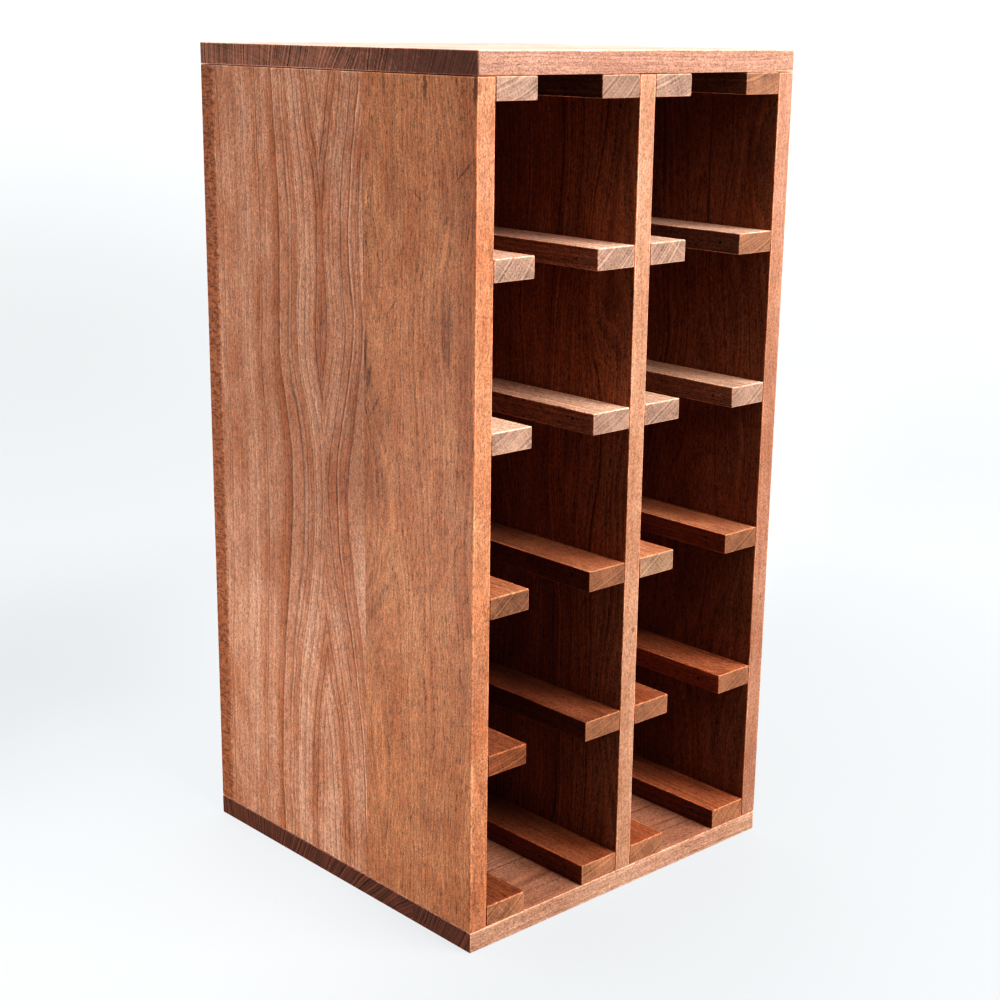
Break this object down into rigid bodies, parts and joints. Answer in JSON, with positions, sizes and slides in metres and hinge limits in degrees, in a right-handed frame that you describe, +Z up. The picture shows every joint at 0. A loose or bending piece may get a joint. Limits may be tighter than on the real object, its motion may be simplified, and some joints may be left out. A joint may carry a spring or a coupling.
{
  "type": "wine rack",
  "caption": "Open-fronted hardwood wine rack, a tall box with a centre divider and paired rails on the walls that carry bottles lying front to back.",
  "frame": {"origin": "centre of the base, on the surface that the rack stands on", "axes": "+Z up; the open front faces -Y; +X to the right of someone looking into the front"},
  "size_m": [0.3, 0.3, 0.6],
  "materials": {
    "carcass_wood": "oiled reddish-brown hardwood, satin",
    "rail_wood": "oiled reddish-brown hardwood, satin, sawn ends sanded",
    "back_wood": "oiled reddish-brown hardwood veneer, satin",
    "dowel_wood": "bare beech, glued in"
  },
  "bodies": {
    "root": {"top_board": "carcass_wood", "bottom_board": "carcass_wood", "left_side_panel": "carcass_wood", "right_side_panel": "carcass_wood", "centre_divider": "carcass_wood", "back_panel": "back_wood", "left_bay_rail_1_left": "rail_wood", "left_bay_rail_1_right": "rail_wood", "left_bay_rail_2_left": "rail_wood", "left_bay_rail_2_right": "rail_wood", "left_bay_rail_3_left": "rail_wood", "left_bay_rail_3_right": "rail_wood", "left_bay_rail_4_left": "rail_wood", "left_bay_rail_4_right": "rail_wood", "left_bay_rail_5_left": "rail_wood", "left_bay_rail_5_right": "rail_wood", "left_bay_rail_6_left": "rail_wood", "left_bay_rail_6_right": "rail_wood", "right_bay_rail_1_left": "rail_wood", "right_bay_rail_1_right": "rail_wood", "right_bay_rail_2_left": "rail_wood", "right_bay_rail_2_right": "rail_wood", "right_bay_rail_3_left": "rail_wood", "right_bay_rail_3_right": "rail_wood", "right_bay_rail_4_left": "rail_wood", "right_bay_rail_4_right": "rail_wood", "right_bay_rail_5_left": "rail_wood", "right_bay_rail_5_right": "rail_wood", "right_bay_rail_6_left": "rail_wood", "right_bay_rail_6_right": "rail_wood", "bottom_left_dowel_front": "dowel_wood", "bottom_left_dowel_middle": "dowel_wood", "bottom_left_dowel_rear": "dowel_wood", "bottom_centre_dowel_front": "dowel_wood", "bottom_centre_dowel_middle": "dowel_wood", "bottom_centre_dowel_rear": "dowel_wood", "bottom_right_dowel_front": "dowel_wood", "bottom_right_dowel_middle": "dowel_wood", "bottom_right_dowel_rear": "dowel_wood", "top_left_dowel_front": "dowel_wood", "top_left_dowel_middle": "dowel_wood", "top_left_dowel_rear": "dowel_wood", "top_centre_dowel_front": "dowel_wood", "top_centre_dowel_middle": "dowel_wood", "top_centre_dowel_rear": "dowel_wood", "top_right_dowel_front": "dowel_wood", "top_right_dowel_middle": "dowel_wood", "top_right_dowel_rear": "dowel_wood"}
  },
  "joints": []
}
